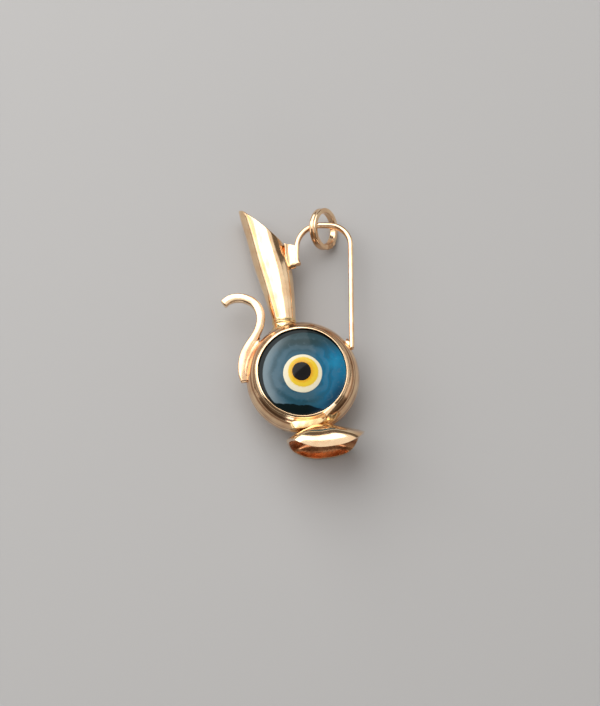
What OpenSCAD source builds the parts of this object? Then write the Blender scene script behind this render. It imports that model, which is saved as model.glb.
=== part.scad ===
// Gold pitcher charm with a glass eye for a belly and a jump ring on its handle.
// Millimetres. The charm lies on its back: +X is to its right, +Y runs up from the foot
// to the mouth and +Z is up. The origin is the middle of the bowl's flat back.

/* [Bowl] */
// Radius of the bowl at its widest
bowl_r = 6.45; // [6.3:0.05:6.6]
// Height of the widest line over the back
bowl_mid_z = 3.8; // [3.6:0.1:4]
// Radius of the rounded side, seen in section
bowl_side_r = 3.1; // [3:0.05:3.2]
// How far the domed back would reach below the flat that it rests on
bowl_back_sag = 0.25; // [0.2:0.05:0.35]
// Wall of the pressed sheet
bowl_wall = 0.45; // [0.35:0.05:0.55]

/* [Bezel strip] */
// Radius of the opening that shows the glass
bezel_r = 5; // [4.9:0.05:5.05]
// Thickness of the strip
bezel_t = 0.38; // [0.3:0.02:0.4]
// Top of the strip
bezel_top_z = 6.38; // [6.36:0.02:6.44]
// How far the strip's axis lies left of the bowl's
bezel_left = 0.14; // [0:0.01:0.2]
// How far the strip's axis lies above the bowl's, toward the neck
bezel_up = 0.17; // [0:0.01:0.2]
// Length of the strip's lapped end
lap_length = 1.7; // [1.4:0.1:2]
// Where round the bezel the lapped end is, anticlockwise from +X
lap_angle = -55; // [-70:1:-40]

/* [Glass eye] */
// Height of the ledge that the glass rests on
ledge_z = 5.2; // [5:0.1:5.3]
// Top of the glass at its edge
glass_edge_z = 6.08; // [6:0.02:6.15]
// Rise of the domed glass over its edge
glass_dome = 0.8; // [0.6:0.05:1]
// Gap between pieces that are fitted, not soldered
fit_gap = 0.02; // [0.02:0.01:0.04]

/* [Neck] */
// Thickness of the rolled sheet
neck_wall = 0.36; // [0.3:0.02:0.44]
// Step of the sheet's lap along the seam
seam_step = 0.12; // [0.08:0.02:0.16]
// Where round the neck the seam runs, from +X toward +Z
seam_angle = 128; // [125:1:145]
// Slope of the mouth's cut in plan
mouth_angle = -38.9; // [-42:0.1:-36]

/* [Handle] */
// Turn of the handle in plan, clockwise
handle_turn = 0.6; // [0.4:0.1:0.8]
// Width of the handle's wire in plan
handle_w = 0.6; // [0.5:0.05:0.7]
// Height of the handle's wire
handle_h = 0.8; // [0.7:0.02:0.8]
// Middle of the straight leg, from the bowl's axis
leg_x = 5.59; // [5.5:0.01:5.7]
// Bend radius of the arch's two corners, at the wire's middle
arch_r = 2.45; // [2.3:0.05:2.5]
// Distance between the middles of the arch's two sides
handle_span = 6.3; // [6.2:0.1:6.4]
// Top of the arch, at the wire's middle
arch_top_y = 18.54; // [18.5:0.02:18.6]
// Bottom end of the straight leg
leg_end_y = 3.16; // [3:0.02:3.3]
// Length of the short side, from its bend to its cut end
stub_length = 2.7; // [2.5:0.1:2.9]
// Height of the wire at the straight leg's bottom end
handle_low_z = 4.45; // [4.4:0.05:4.5]
// Slope of the handle down toward its arch, in degrees
handle_slope = 5; // [4.9:0.1:5.2]

/* [Foot] */
// Width of the foot from tip to tip
foot_w = 8.9; // [8.7:0.1:9.1]
// Height of the tips over the surface that the charm lies on
foot_mid_z = 4.42; // [4.3:0.02:4.5]
// Rise of the front panel's rim over the tips
foot_front = 3.8; // [3.6:0.05:3.85]
// Drop of the back panel's rim below the tips
foot_back = 4.4; // [4.2:0.05:4.4]
// How far the front panel reaches past the line through the tips
foot_reach_front = 1.85; // [1.75:0.05:1.95]
// How far the back panel reaches past the line through the tips
foot_reach_back = 1.85; // [1.7:0.05:2]
// Distance from the line through the tips up to the stem
foot_rise = 1.55; // [1.4:0.05:1.7]
// Turn of the foot in plan
foot_turn = 6.6; // [5:0.1:8]
// Thickness of the sheet
foot_wall = 0.4; // [0.34:0.02:0.46]

/* [Jump ring] */
// Outside diameter
ring_od = 4.92; // [4.8:0.02:4.96]
// Thickness of the ring's flat wire across the ring
ring_t = 0.58; // [0.5:0.02:0.6]
// Width of the flat wire along the ring's axis
ring_w = 0.86; // [0.7:0.02:0.9]
// Lean of the ring to the right, in degrees
ring_lean = 54; // [53.5:0.5:56]

/* [Smoothness] */
// Sides of the lofted neck and foot
loft_sides = 40; // [32:8:48]
// Sides of the spout's wire and the solder ridge
strand_sides = 16; // [12:4:16]

/* [Hidden] */

GOLD = [0.85, 0.66, 0.42];
$fn = 64;
bowl_sides = 96;
// Share of a flat wire's smaller side that its trimmed corners take
corner_trim = 0.22;

// Columns of the neck's sections, from the collar to past the mouth
NECK_Y = 0;
NECK_X = 1;
NECK_Z = 2;
NECK_W = 3;
NECK_D = 4;
neck_sections = [
    //  y,     x,     z,   width, depth
    [ 5.9, -2.03,  3.80,   2.56,  2.50],
    [ 7.3, -2.16,  3.62,   2.76,  2.70],
    [ 8.7, -2.42,  3.42,   3.18,  3.06],
    [10.2, -2.69,  3.18,   3.66,  3.48],
    [12.3, -3.08,  2.90,   4.26,  3.96],
    [14.2, -3.54,  2.62,   4.38,  4.16],
    [16.3, -4.12,  2.34,   4.22,  4.20],
    [18.2, -4.64,  2.18,   4.26,  4.22],
    [20.9, -5.36,  2.17,   4.20,  4.22]
];
// A point on the line of the mouth's cut, and a first guess at the height of that line
mouth_tip = [-7.46, 20.54];
mouth_near_y = 18;

// Columns of a strand's stations: a bent bar, from one end to the other
STRAND_X = 0;
STRAND_Y = 1;
STRAND_Z = 2;
STRAND_W = 3;
STRAND_H = 4;
// The spout, from the cut end of its hook to its soldered end
spout_stations = [
    //  x,     y,     z,   width, height
    [-9.15,  8.57,  4.00,  0.98,  0.98],
    [-8.40,  9.15,  4.00,  1.00,  0.98],
    [-7.35,  9.37,  4.00,  1.02,  0.98],
    [-6.28,  9.15,  4.00,  1.02,  0.98],
    [-5.35,  8.50,  4.00,  1.02,  0.98],
    [-4.88,  7.60,  4.00,  1.02,  0.98],
    [-4.80,  6.66,  4.02,  0.98,  0.98],
    [-5.05,  5.60,  4.05,  0.96,  0.98],
    [-5.58,  4.55,  4.08,  0.98,  0.98],
    [-6.16,  3.55,  4.10,  1.10,  0.94],
    [-6.58,  2.46,  4.10,  1.26,  0.90],
    [-6.74,  1.36,  4.10,  1.32,  0.88],
    [-6.72,  0.36,  4.08,  1.26,  0.88],
    [-6.56, -0.62,  4.05,  1.00,  0.80]
];
spout_squareness = 3;

// The ridge of solder and sheet between the bowl's shoulder and the foot
ridge_stations = [
    //  x,     y,     z,   width, height
    [-1.36, -5.74,  5.56,  0.56,  0.46],
    [-0.92, -5.73,  5.62,  0.74,  0.60],
    [-0.10, -5.72,  5.66,  0.70,  0.60],
    [ 0.80, -5.64,  5.66,  0.64,  0.58],
    [ 1.70, -5.43,  5.66,  0.60,  0.54],
    [ 2.62, -5.06,  5.66,  0.50,  0.46]
];
ridge_squareness = 2.4;
strand_steps = 3;
look_ahead = 0.05;

// Columns of the solder beads
BEAD_AT = 0;
BEAD_R = 1;
solder_beads = [
    // place,               radius
    [[ 5.17,  3.97, 4.20],  0.46],
    [[-5.24,  4.10, 4.37],  0.43],
    [[-6.09,  2.30, 4.31],  0.44],
    [[-6.23,  0.74, 4.27],  0.43],
    [[-1.10, -6.13, 4.75],  0.44],
    [[ 2.95, -5.20, 5.24],  0.42],
    [[ 3.50, -4.95, 5.20],  0.34],
    [[ 2.10, -5.50, 5.20],  0.46]
];
bead_turn = [35, 20, 0];
bead_sides = 24;

// Columns of the eye's coloured layers, each let into the one below
LAYER_D = 0;
LAYER_AT = 1;
LAYER_Z = 2;
LAYER_PROUD = 3;
eye_layers = [
    // diameter, middle,      underside, rise over the glass
    [4.28, [ 0.03, -0.21],  6.20,  0.03],
    [3.56, [-0.03, -0.08],  6.42,  0.05],
    [2.20, [-0.14, -0.06],  6.60,  0.08]
];
WHITE = 0;
YELLOW = 1;
PUPIL = 2;

neck_middles_x = [for (row = neck_sections) [row[NECK_Y], row[NECK_X]]];
neck_middles_z = [for (row = neck_sections) [row[NECK_Y], row[NECK_Z]]];
neck_widths = [for (row = neck_sections) [row[NECK_Y], row[NECK_W]]];
neck_depths = [for (row = neck_sections) [row[NECK_Y], row[NECK_D]]];
neck_steps = 10;
seam_fade = 65;

// Columns of the collar's two rings
COLLAR_Y = 0;
COLLAR_R = 1;
COLLAR_WIRE = 2;
collar_rings = [
    //  y,  radius, wire radius
    [7.12,    1.25,        0.14],
    [6.62,    1.20,        0.22]
];

// Outlines in plan: the solder block, and the handle's short side down to its flared end
lug_outline = [[-2.5, 16.2], [-1.7, 16.1], [-0.9, 15.7], [-0.75, 13.4], [-1.2, 13.1], [-1.9, 13.3]];
lug_low_z = 2.5;
lug_h = 1.45;
stub_flare = 0.32;
stub_flare_length = 1;
stub_slant = 0.2;
stub_outline = [
    [-handle_w / 2, 0], [-handle_w / 2, -stub_length + stub_slant / 2],
    [handle_w / 2 + stub_flare / 2, -stub_length - stub_slant / 2],
    [handle_w / 2 + stub_flare, -stub_length + stub_slant],
    [handle_w / 2, -stub_length + stub_flare_length], [handle_w / 2, 0]
];

// The stem that joins the foot to the bowl, and the middle of the line through the foot's tips
stem_w = 1.9;
stem_h = 1.74;
stem_shift = -0.58;
foot_x = 2.5;
foot_y = -6.85;
foot_tip_inset = 1.3;
// How round the rim is bowed in plan, and how much fuller it is on the right
rim_power = 2.7;
rim_skew = 0.5;
// Sections of the foot from the stem to the rim: shares of its growth in width and in height,
// of its rise and of the rim's reach, and how square the section is
foot_sections = [
    // width, height, rise, reach, squareness
    [0.00, 0.00, 1.00, 0.00, 2.2],
    [0.15, 0.20, 0.78, 0.04, 2.5],
    [0.32, 0.44, 0.60, 0.10, 3.2],
    [0.54, 0.72, 0.44, 0.25, 4.2],
    [0.75, 0.91, 0.27, 0.49, 5.5],
    [0.90, 0.98, 0.13, 0.74, 6.8],
    [1.00, 1.00, 0.00, 1.00, 8.0]
];
FOOT_WIDTH = 0;
FOOT_HEIGHT = 1;
FOOT_RISE = 2;
FOOT_REACH = 3;
FOOT_SQUARENESS = 4;

// The strip's lapped end lies askew over its top
lap_r = 5.32;
lap_t = 0.3;
lap_turn = 11;
lap_sink = 0.05;
bezel_trim = 0.1;
recess_h = 2;

// The ring leans on the handle's arch with its low side on the ground
ring_tip = 7;
ring_upright = cos(ring_lean) * cos(ring_tip);
ring_low = ring_od / 2 * sqrt(1 - ring_upright * ring_upright) + ring_w / 2 * ring_upright;
ring_middle = [2.66, 18.36, ring_low];
ring_solder_angles = [-44, -58];
ring_solder_r = 0.47;

// The bowl's front edge is bored out round the strip's own axis
seat_r = bezel_r + bezel_t + fit_gap;
seat_shift = norm([bezel_left, bezel_up]);
front_r = seat_r - seat_shift - 0.08;
ledge_in_r = 4.5;
ledge_t = 0.45;
glass_r = bezel_r - fit_gap;
dome_r = (glass_r * glass_r + glass_dome * glass_dome) / (2 * glass_dome);
dome_z = glass_edge_z + glass_dome - dome_r;

// Two arcs, tangent to each other, make the bowl's section: its side and its back
side_x = bowl_r - bowl_side_r;
back_gap = bowl_back_sag - bowl_side_r;
back_z = (side_x * side_x + bowl_mid_z * bowl_mid_z - back_gap * back_gap)
    / (2 * (back_gap + bowl_mid_z));
back_r = back_z + bowl_back_sag;
join_angle = atan2(bowl_mid_z - back_z, side_x);

// Points of an arc in the section plane, from angle a to angle b, leaving out the first few
function arc(middle, r, a, b, steps, skip = 0) =
    [for (i = [skip:steps]) let (t = a + (b - a) * i / steps) middle + r * [cos(t), sin(t)]];

// One value of a smooth curve through four neighbouring values
function between(a, b, c, d, t) =
    0.5 * (2 * b + (c - a) * t + (2 * a - 5 * b + 4 * c - d) * t * t
        + (3 * b - a - 3 * c + d) * t * t * t);

// A row of a table at a fractional index, smoothly interpolated
function row_at(table, s) =
    let (last = len(table) - 1, i = min(floor(s), last - 1), t = s - i)
    between(table[max(i - 1, 0)], table[i], table[i + 1], table[min(i + 2, last)], t);

// Signed power, for rounded squares
function soft(v, n) = sign(v) * pow(abs(v), 2 / n);

// Closed skin over a list of rings with equal numbers of points, flat at both ends
module skin(rings) {
    n = len(rings[0]);
    last = len(rings) - 1;
    points = [for (ring = rings) for (p = ring) p];
    sides = [for (i = [0:last - 1]) for (j = [0:n - 1]) let (k = (j + 1) % n)
        each [[i * n + j, (i + 1) * n + k, i * n + k], [i * n + j, (i + 1) * n + j, (i + 1) * n + k]]];
    start = [for (j = [0:n - 1]) j];
    end = [for (j = [n - 1:-1:0]) last * n + j];
    polyhedron(points, concat(sides, [start, end]), convexity = 8);
}

// Flat wire's section with trimmed corners, w wide and h high
module wire_section(w, h) {
    trim = corner_trim * min(w, h);
    polygon([
        [-w / 2 + trim, -h / 2], [w / 2 - trim, -h / 2], [w / 2, -h / 2 + trim], [w / 2, h / 2 - trim],
        [w / 2 - trim, h / 2], [-w / 2 + trim, h / 2], [-w / 2, h / 2 - trim], [-w / 2, -h / 2 + trim]
    ]);
}

module bowl() {
    side = [side_x, bowl_mid_z];
    back = [0, back_z];
    inside_side_r = bowl_side_r - bowl_wall;
    inside_back_r = back_r - bowl_wall;
    shoulder_angle = acos((front_r - side_x) / bowl_side_r);
    flat_angle = -asin(back_z / back_r);
    inside_flat_angle = asin((bowl_wall - back_z) / inside_back_r);
    ledge_angle = asin((ledge_z - ledge_t - bowl_mid_z) / inside_side_r);
    difference() {
        rotate_extrude($fn = bowl_sides)
            polygon(concat(
                arc(side, bowl_side_r, shoulder_angle, join_angle, 14),
                arc(back, back_r, join_angle, flat_angle, 4, skip = 1),
                [[0, 0], [0, bowl_wall]],
                arc(back, inside_back_r, inside_flat_angle, join_angle, 4),
                arc(side, inside_side_r, join_angle, ledge_angle, 10, skip = 1),
                [[ledge_in_r, ledge_z - ledge_t], [ledge_in_r, ledge_z], [front_r, ledge_z]]
            ));
        translate([-bezel_left, bezel_up, ledge_z])
            cylinder(r = seat_r, h = recess_h, $fn = bowl_sides);
    }
}

// The sheet steps down past the seam and rises again round the back
function seam_drop(angle) =
    let (past = angle - seam_angle)
    past > 0 && past < seam_fade ? seam_step * (1 - past / seam_fade) : 0;

// A point of the neck at a height y and an angle round it, set in by a wall
function neck_point(y, angle, wall) =
    let (inset = wall + seam_drop(angle))
    [
        lookup(y, neck_middles_x) + (lookup(y, neck_widths) / 2 - inset) * cos(angle),
        y,
        lookup(y, neck_middles_z) + (lookup(y, neck_depths) / 2 - inset) * sin(angle)
    ];

// Where the line along the neck at one angle meets the mouth's slanting cut
function mouth_y(angle, wall, y = mouth_near_y, tries = 5) =
    tries == 0 ? y
    : mouth_y(angle, wall,
        mouth_tip.y + tan(mouth_angle) * (neck_point(y, angle, wall).x - mouth_tip.x), tries - 1);

function neck_ring(share, wall, start) =
    [for (j = [loft_sides - 1:-1:0])
        let (angle = 360 * j / loft_sides)
        neck_point(start + (mouth_y(angle, wall) - start) * share, angle, wall)];

module neck_sheet() {
    base = neck_sections[0][NECK_Y];
    skin(concat(
        [for (i = [0:neck_steps]) neck_ring(i / neck_steps, 0, base)],
        [for (i = [neck_steps:-1:0]) neck_ring(i / neck_steps, neck_wall, base + neck_wall)]
    ));
}

module neck_hollow() {
    base = neck_sections[0][NECK_Y];
    skin([for (i = [0:neck_steps]) neck_ring(i / neck_steps, neck_wall, base + neck_wall)]);
}

module neck_collar() {
    for (ring = collar_rings)
        let (y = ring[COLLAR_Y])
            translate([lookup(y, neck_middles_x), y, lookup(y, neck_middles_z)]) rotate([90, 0, 0])
                rotate_extrude()
                    translate([ring[COLLAR_R], 0]) circle(ring[COLLAR_WIRE], $fn = bead_sides);
}

// Solder block that bridges the neck and the handle's short side
module lug() {
    difference() {
        translate([0, 0, lug_low_z]) linear_extrude(lug_h) polygon(lug_outline);
        neck_hollow();
    }
}

module handle() {
    leg_length = arch_top_y - arch_r - leg_end_y;
    left_x = -handle_span;
    translate([leg_x, leg_end_y, handle_low_z])
        rotate([-handle_slope, 0, -handle_turn]) {
            translate([0, leg_length, 0])
                rotate([90, 0, 0]) linear_extrude(leg_length) wire_section(handle_w, handle_h);
            translate([-arch_r, leg_length, 0])
                rotate_extrude(angle = 90) translate([arch_r, 0]) wire_section(handle_w, handle_h);
            translate([left_x + arch_r, leg_length + arch_r, 0])
                rotate([90, 0, 90])
                    linear_extrude(handle_span - 2 * arch_r) wire_section(handle_w, handle_h);
            translate([left_x + arch_r, leg_length, 0])
                rotate([0, 0, 90])
                    rotate_extrude(angle = 90) translate([arch_r, 0]) wire_section(handle_w, handle_h);
            translate([left_x, leg_length, -handle_h / 2])
                linear_extrude(handle_h) polygon(stub_outline);
        }
}

// A rounded square across a strand, at a fractional station
function strand_ring(stations, s, squareness) =
    let (
        last = len(stations) - 1,
        at = row_at(stations, s),
        ahead = row_at(stations, min(s + look_ahead, last)),
        behind = row_at(stations, max(s - look_ahead, 0)),
        way = [ahead[STRAND_X] - behind[STRAND_X], ahead[STRAND_Y] - behind[STRAND_Y]],
        across = [-way.y, way.x] / norm(way)
    )
    [for (j = [0:strand_sides - 1])
        let (angle = 360 * (j + 0.5) / strand_sides, out = soft(cos(angle), squareness) * at[STRAND_W] / 2)
        [
            at[STRAND_X] + out * across.x,
            at[STRAND_Y] + out * across.y,
            at[STRAND_Z] + soft(sin(angle), squareness) * at[STRAND_H] / 2
        ]];

module strand(stations, squareness) {
    last = len(stations) - 1;
    skin([for (i = [0:last * strand_steps]) strand_ring(stations, i / strand_steps, squareness)]);
}

module spout() {
    strand(spout_stations, spout_squareness);
}

// One section of the foot. Its front and back are flat in the middle and its ends are rounded.
function foot_ring(row, wall) =
    [for (j = [0:loft_sides - 1])
        let (
            angle = 360 * j / loft_sides,
            is_front = sin(angle) > 0,
            half_w = stem_w / 2 + (foot_w - stem_w) / 2 * row[FOOT_WIDTH] - wall * foot_tip_inset,
            tall = (is_front ? foot_front : foot_back) - stem_h / 2,
            half_h = stem_h / 2 + tall * row[FOOT_HEIGHT] - wall,
            reach = (is_front ? foot_reach_front : foot_reach_back) * row[FOOT_REACH],
            bowed = reach * (1 - pow(abs(cos(angle)), rim_power + rim_skew * cos(angle)))
        )
        [
            stem_shift * (1 - row[FOOT_WIDTH]) + half_w * cos(angle),
            foot_rise * row[FOOT_RISE] - bowed - wall * (1 - row[FOOT_WIDTH]),
            (is_front ? half_h : -half_h) * (1 - pow(abs(cos(angle)), row[FOOT_SQUARENESS]))
        ]];

module foot() {
    translate([foot_x, foot_y, foot_mid_z])
        rotate([0, 0, foot_turn])
            skin(concat(
                [for (row = foot_sections) foot_ring(row, 0)],
                [for (i = [len(foot_sections) - 1:-1:0]) foot_ring(foot_sections[i], foot_wall)]
            ));
}

module solder() {
    strand(ridge_stations, ridge_squareness);
    for (bead = solder_beads)
        translate(bead[BEAD_AT]) rotate(bead_turn) sphere(bead[BEAD_R], $fn = bead_sides);
}

module pitcher() {
    color(GOLD) {
        bowl();
        neck_sheet();
        neck_collar();
        lug();
        handle();
        spout();
        foot();
        solder();
    }
}

module bezel_strip() {
    outside = bezel_r + bezel_t;
    base = ledge_z + fit_gap;
    edge_z = bezel_top_z - bezel_trim;
    color(GOLD)
        translate([-bezel_left, bezel_up, 0]) {
            rotate_extrude($fn = bowl_sides)
                polygon([
                    [bezel_r, base], [outside, base], [outside, edge_z], [outside - bezel_trim, bezel_top_z],
                    [bezel_r + bezel_trim, bezel_top_z], [bezel_r, edge_z]
                ]);
            rotate([0, 0, lap_angle])
                translate([lap_r, 0, bezel_top_z + lap_t / 2 - lap_sink])
                    rotate([0, 0, lap_turn]) cube([bezel_t, lap_length, lap_t], center = true);
        }
}

// Domed disc of glass, raised by a little for the layers that stand proud
module glass_disc(proud) {
    r = dome_r + proud;
    base = ledge_z + fit_gap;
    rotate_extrude($fn = bowl_sides)
        polygon(concat([[0, base], [glass_r, base]], arc([0, dome_z], r, acos(glass_r / r), 90, 12)));
}

module layer_recess(i) {
    layer = eye_layers[i];
    translate([layer[LAYER_AT].x, layer[LAYER_AT].y, layer[LAYER_Z]])
        cylinder(d = layer[LAYER_D], h = recess_h);
}

module eye_layer(i) {
    layer = eye_layers[i];
    translate([-bezel_left, bezel_up, 0])
        difference() {
            intersection() {
                translate([layer[LAYER_AT].x, layer[LAYER_AT].y, layer[LAYER_Z] + fit_gap])
                    cylinder(d = layer[LAYER_D] - 2 * fit_gap, h = recess_h);
                glass_disc(layer[LAYER_PROUD]);
            }
            if (i < PUPIL) layer_recess(i + 1);
        }
}

module eye_glass() {
    color([0.2, 0.42, 0.54])
        translate([-bezel_left, bezel_up, 0])
            difference() {
                glass_disc(0);
                layer_recess(WHITE);
            }
}

module eye_white() {
    color([0.95, 0.92, 0.82]) eye_layer(WHITE);
}

module eye_yellow() {
    color([0.93, 0.77, 0.2]) eye_layer(YELLOW);
}

module eye_pupil() {
    color([0.06, 0.05, 0.05]) eye_layer(PUPIL);
}

module jump_ring() {
    middle_r = (ring_od - ring_t) / 2;
    color(GOLD)
        translate(ring_middle)
            rotate([ring_tip, ring_lean, 0]) {
                rotate_extrude($fn = bowl_sides) translate([middle_r, 0]) wire_section(ring_t, ring_w);
                for (angle = ring_solder_angles)
                    rotate([0, 0, angle]) translate([middle_r, 0, 0]) sphere(ring_solder_r, $fn = bead_sides);
            }
}

pitcher();
bezel_strip();
eye_glass();
eye_white();
eye_yellow();
eye_pupil();
jump_ring();
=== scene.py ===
import math

import bmesh
import bpy
from mathutils import Matrix, Vector, noise


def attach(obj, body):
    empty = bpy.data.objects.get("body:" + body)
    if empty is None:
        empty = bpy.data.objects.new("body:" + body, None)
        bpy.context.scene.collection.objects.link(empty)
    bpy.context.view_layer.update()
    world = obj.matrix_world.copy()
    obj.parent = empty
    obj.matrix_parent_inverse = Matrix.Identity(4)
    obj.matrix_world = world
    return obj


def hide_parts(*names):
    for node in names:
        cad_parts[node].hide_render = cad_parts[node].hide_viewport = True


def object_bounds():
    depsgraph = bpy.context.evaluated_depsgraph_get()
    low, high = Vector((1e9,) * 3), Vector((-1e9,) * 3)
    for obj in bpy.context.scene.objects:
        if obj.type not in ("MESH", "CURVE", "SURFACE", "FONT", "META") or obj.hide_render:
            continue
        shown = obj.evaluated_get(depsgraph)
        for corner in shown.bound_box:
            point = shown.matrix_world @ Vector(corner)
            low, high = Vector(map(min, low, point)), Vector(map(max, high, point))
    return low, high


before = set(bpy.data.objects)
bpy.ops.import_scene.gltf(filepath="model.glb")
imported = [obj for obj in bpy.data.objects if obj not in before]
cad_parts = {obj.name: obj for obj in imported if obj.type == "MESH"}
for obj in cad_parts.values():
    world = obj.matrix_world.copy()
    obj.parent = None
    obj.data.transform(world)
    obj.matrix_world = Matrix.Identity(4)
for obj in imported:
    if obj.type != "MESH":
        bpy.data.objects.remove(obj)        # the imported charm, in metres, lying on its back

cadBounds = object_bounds()
mm = 0.001


# Small helpers for modelling

def deselect():
    for item in list(bpy.context.selected_objects):
        item.select_set(False)


def named(name):
    piece = bpy.context.object
    piece.name = name
    piece.data.name = name
    return piece


def pick(piece, test):
    # in edit mode: selects the faces that pass the test, and nothing else
    bpy.ops.mesh.select_mode(type="FACE")
    bpy.ops.mesh.select_all(action="DESELECT")
    shape = bmesh.from_edit_mesh(piece.data)
    for face in shape.faces:
        face.select_set(test(face))
    bmesh.update_edit_mesh(piece.data)


def pull(step, times=1):
    # in edit mode: extrudes what is selected by a step, as often as asked
    for part in range(times):
        bpy.ops.mesh.extrude_region_move(TRANSFORM_OT_translate={"value": step})


def closeUp():
    # out of edit mode, with all faces pointing outwards
    bpy.ops.mesh.select_all(action="SELECT")
    bpy.ops.mesh.normals_make_consistent(inside=False)
    bpy.ops.object.mode_set(mode="OBJECT")


def form(piece, place):
    # moves every point of a blank to where the rule puts it
    for point in piece.data.vertices:
        point.co = Vector(place(point.co)) * mm
    piece.data.update()


def blank(name, across, along):
    # a flat sheet from 0 to 1 both ways, ready to be formed
    deselect()
    bpy.ops.mesh.primitive_grid_add(x_subdivisions=across, y_subdivisions=along, size=1,
                                    location=(0.5, 0.5, 0))
    piece = named(name)
    bpy.ops.object.transform_apply(location=True)
    return piece


def inside(corners, point):
    # where a blank's point lies between four corners: upper left, upper right, lower left, lower right
    upLeft, upRight, lowLeft, lowRight = (Vector(corner) for corner in corners)
    return lowLeft.lerp(upLeft, point.y).lerp(lowRight.lerp(upRight, point.y), point.x)


def lathe(name, profile, steps):
    # a point drawn along the profile of (radius, height) in mm, then spun round Z
    deselect()
    bpy.ops.mesh.primitive_plane_add(size=mm, location=(0, 0, 0))
    piece = named(name)
    bpy.ops.object.mode_set(mode="EDIT")
    bpy.ops.mesh.select_mode(type="VERT")
    bpy.ops.mesh.select_all(action="SELECT")
    bpy.ops.mesh.merge(type="CENTER")
    bpy.ops.transform.translate(value=(profile[0][0] * mm, 0, profile[0][1] * mm))
    for here, there in zip(profile, profile[1:]):
        step = ((there[0] - here[0]) * mm, 0, (there[1] - here[1]) * mm)
        bpy.ops.mesh.extrude_vertices_move(TRANSFORM_OT_translate={"value": step})
    bpy.ops.mesh.select_all(action="SELECT")
    bpy.ops.mesh.spin(steps=steps, angle=2 * math.pi, center=(0, 0, 0), axis=(0, 0, 1))
    bpy.ops.mesh.select_all(action="SELECT")
    bpy.ops.mesh.remove_doubles(threshold=0.002 * mm)
    closeUp()
    return piece


def bar(name, length, parts):
    # a square bar along X, one unit wide and high, in even parts
    deselect()
    bpy.ops.mesh.primitive_plane_add(size=1, rotation=(0, math.pi / 2, 0))
    piece = named(name)
    bpy.ops.object.transform_apply(rotation=True)
    bpy.ops.object.mode_set(mode="EDIT")
    bpy.ops.mesh.select_all(action="SELECT")
    pull((length / parts, 0, 0), parts)
    closeUp()
    return piece


def modify(piece, kind, **settings):
    bpy.context.view_layer.objects.active = piece
    modifier = piece.modifiers.new(kind.title(), kind)
    for key, value in settings.items():
        setattr(modifier, key, value)
    bpy.ops.object.modifier_apply(modifier=modifier.name)


def smoothSurface(piece, levels):
    modify(piece, "SUBSURF", levels=levels, render_levels=levels)


def roundEdges(piece, width, segments=2, **settings):
    # rounds the edges sharper than 50 degrees, by a width in mm
    modify(piece, "BEVEL", width=width * mm, segments=segments, limit_method="ANGLE",
           angle_limit=math.radians(50), **settings)


def smoothShade(piece, angle=35):
    deselect()
    piece.select_set(True)
    bpy.context.view_layer.objects.active = piece
    bpy.ops.object.shade_smooth_by_angle(angle=math.radians(angle))


def arc(middle, radius, start, end, steps):
    # points of an arc, from one angle to another in degrees
    turns = [math.radians(start + (end - start) * i / steps) for i in range(steps + 1)]
    return [(middle[0] + radius * math.cos(t), middle[1] + radius * math.sin(t)) for t in turns]


def hill(distance, reach):
    # 1 at no distance, and softly down to nothing past the reach
    return math.exp(-(distance / reach) ** 2)


def waver(x, y, z):
    # smooth noise between -1 and 1
    return noise.noise(Vector((x, y, z)))


def waverRound(turn, scale, z):
    # the same on a circle, so that it closes after a full turn
    return waver(scale * math.cos(turn), scale * math.sin(turn), z)


def between(rows, s):
    # a smooth curve through the rows of a table, at a fractional row
    last = len(rows) - 1
    i = min(int(s), last - 1)
    t = s - i
    a, b, c, d = (rows[min(max(i + k, 0), last)] for k in (-1, 0, 1, 2))
    return [0.5 * (2 * q + (r - p) * t + (2 * p - 5 * q + 4 * r - v) * t ** 2
                   + (3 * q - p - 3 * r + v) * t ** 3)
            for p, q, r, v in zip(a, b, c, d)]


def wireAlong(name, stations, parts, rounding, levels):
    # a bar bent along a guide curve; stations are rows of x, y, z, width, height in mm
    deselect()
    bpy.ops.curve.primitive_bezier_curve_add()
    guide = bpy.context.object
    guide.data.dimensions = "2D"
    guide.data.resolution_u = 24
    spline = guide.data.splines[0]
    spline.bezier_points.add(len(stations) - 2)
    for knot, row in zip(spline.bezier_points, stations):
        knot.co = (row[0] * mm, row[1] * mm, 0)
        knot.handle_left_type = knot.handle_right_type = "AUTO"
    length = spline.calc_length()
    piece = bar(name, length, parts)
    reach = [0.0]
    for here, there in zip(stations, stations[1:]):
        reach.append(reach[-1] + math.dist(here[:2], there[:2]))
    scale = length / mm / reach[-1]

    def section(point):
        way = min(max(point.x / mm, 0.0), length / mm) / scale
        i = max(k for k in range(len(reach) - 1) if reach[k] <= way + 1e-9)
        row = between(stations, i + (way - reach[i]) / (reach[i + 1] - reach[i]))
        return (point.x / mm, point.y * row[3], row[2] + point.z * row[4])

    form(piece, section)
    modify(piece, "CURVE", object=guide, deform_axis="POS_X")
    bpy.data.objects.remove(guide)
    roundEdges(piece, rounding)
    smoothSurface(piece, levels)
    return piece


def finish(piece, material, slot, *nodes):
    if material:      # the foot has its two already
        piece.data.materials.clear()
        piece.data.materials.append(material)
    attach(piece, "root")
    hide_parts(*nodes)


# Shader maths: a node's output that is used like a number

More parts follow.
